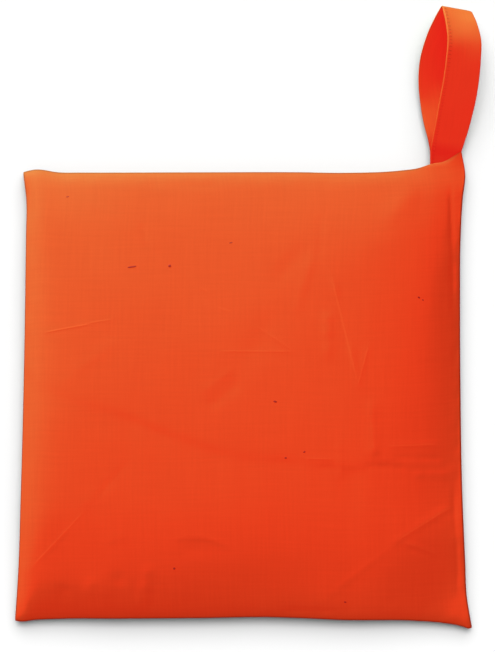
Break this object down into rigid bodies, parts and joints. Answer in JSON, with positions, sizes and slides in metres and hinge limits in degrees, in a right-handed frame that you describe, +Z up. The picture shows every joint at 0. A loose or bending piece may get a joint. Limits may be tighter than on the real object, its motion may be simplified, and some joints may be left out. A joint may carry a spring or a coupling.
{
  "type": "packed safety vest in stow pouch",
  "caption": "Fluorescent safety vest folded flat inside its square sewn stow pouch, with a cloth hanging loop at one corner.",
  "frame": {"origin": "middle of the bounding box's lowest face, on the surface that the pouch lies on", "axes": "+X to the right across the pouch, +Y along the pouch towards the hanging loop, +Z up out of the front panel"},
  "size_m": [0.186, 0.248, 0.0273],
  "materials": {
    "front_cloth": "fluorescent orange plain-woven polyester, faint satin sheen",
    "back_cloth": "fluorescent orange plain-woven polyester, faint satin sheen",
    "strap_cloth": "doubled fluorescent orange polyester, pressed edges",
    "vest_cloth": "fluorescent orange knitted polyester"
  },
  "bodies": {
    "root": {"pouch_front": "front_cloth", "pouch_back_lower": "back_cloth", "pouch_back_upper": "back_cloth", "hanging_loop": "strap_cloth", "folded_vest": "vest_cloth"}
  },
  "joints": []
}
